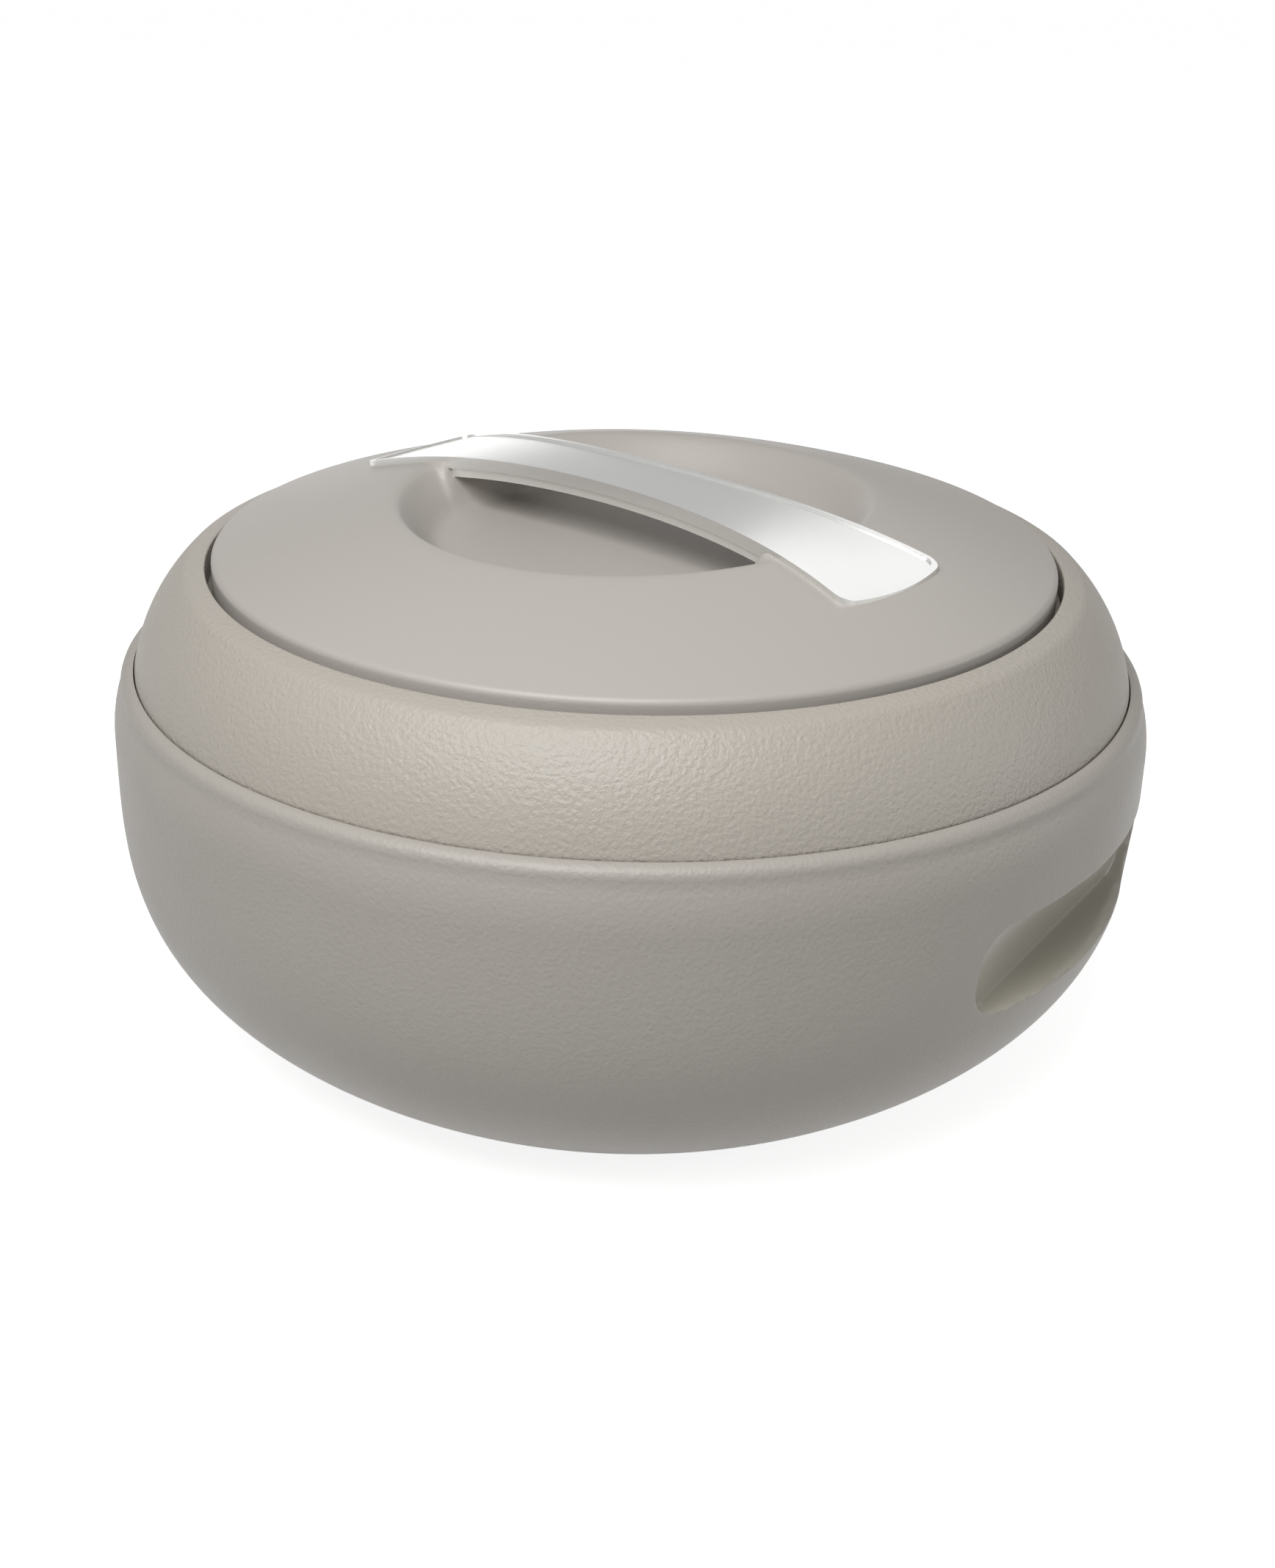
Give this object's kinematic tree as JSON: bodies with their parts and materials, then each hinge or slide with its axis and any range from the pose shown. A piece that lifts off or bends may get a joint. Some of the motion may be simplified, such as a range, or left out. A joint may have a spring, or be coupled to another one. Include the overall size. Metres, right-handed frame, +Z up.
{
  "type": "insulated casserole",
  "caption": "Round foam-insulated serving casserole with a steel bowl, a lift-off domed lid with a strap handle over a finger dish, and side hand grips.",
  "frame": {"origin": "centre of the base, on the surface that the feet stand on", "axes": "+Z up; the two hand grips lie on +X and -X; the lid's strap lies 9 degrees off X"},
  "size_m": [0.29, 0.29, 0.1589],
  "materials": {
    "taupe_shell": "satin taupe grey polypropylene",
    "taupe_ring": "fine-textured taupe grey polypropylene",
    "taupe_lid": "satin taupe grey polypropylene",
    "silver_strap": "satin silver",
    "steel": "brushed stainless steel",
    "foam": "rigid polyurethane foam",
    "soft_feet": "matt thermoplastic rubber",
    "silicone": "matt silicone",
    "grey_inner": "plain moulded plastic",
    "zinc_screw": "zinc plated"
  },
  "bodies": {
    "casserole_body": {"outer_shell": "taupe_shell", "shoulder_ring": "taupe_ring", "inner_bowl": "steel", "body_foam": "foam", "base_plug": "grey_inner", "foot_front_right": "soft_feet", "foot_rear_right": "soft_feet", "foot_rear_left": "soft_feet", "foot_front_left": "soft_feet"},
    "lid": {"lid_cover": "taupe_lid", "lid_liner": "steel", "lid_base_ring": "grey_inner", "lid_seal": "silicone", "lid_foam": "foam", "handle_strap": "silver_strap", "handle_under_grip": "silver_strap", "handle_screws": "zinc_screw"}
  },
  "joints": [
    {"name": "lid_lift", "type": "slide", "parent": "casserole_body", "child": "lid", "axis": [0, 0, 1], "range_m": [0, 0.15]}
  ]
}
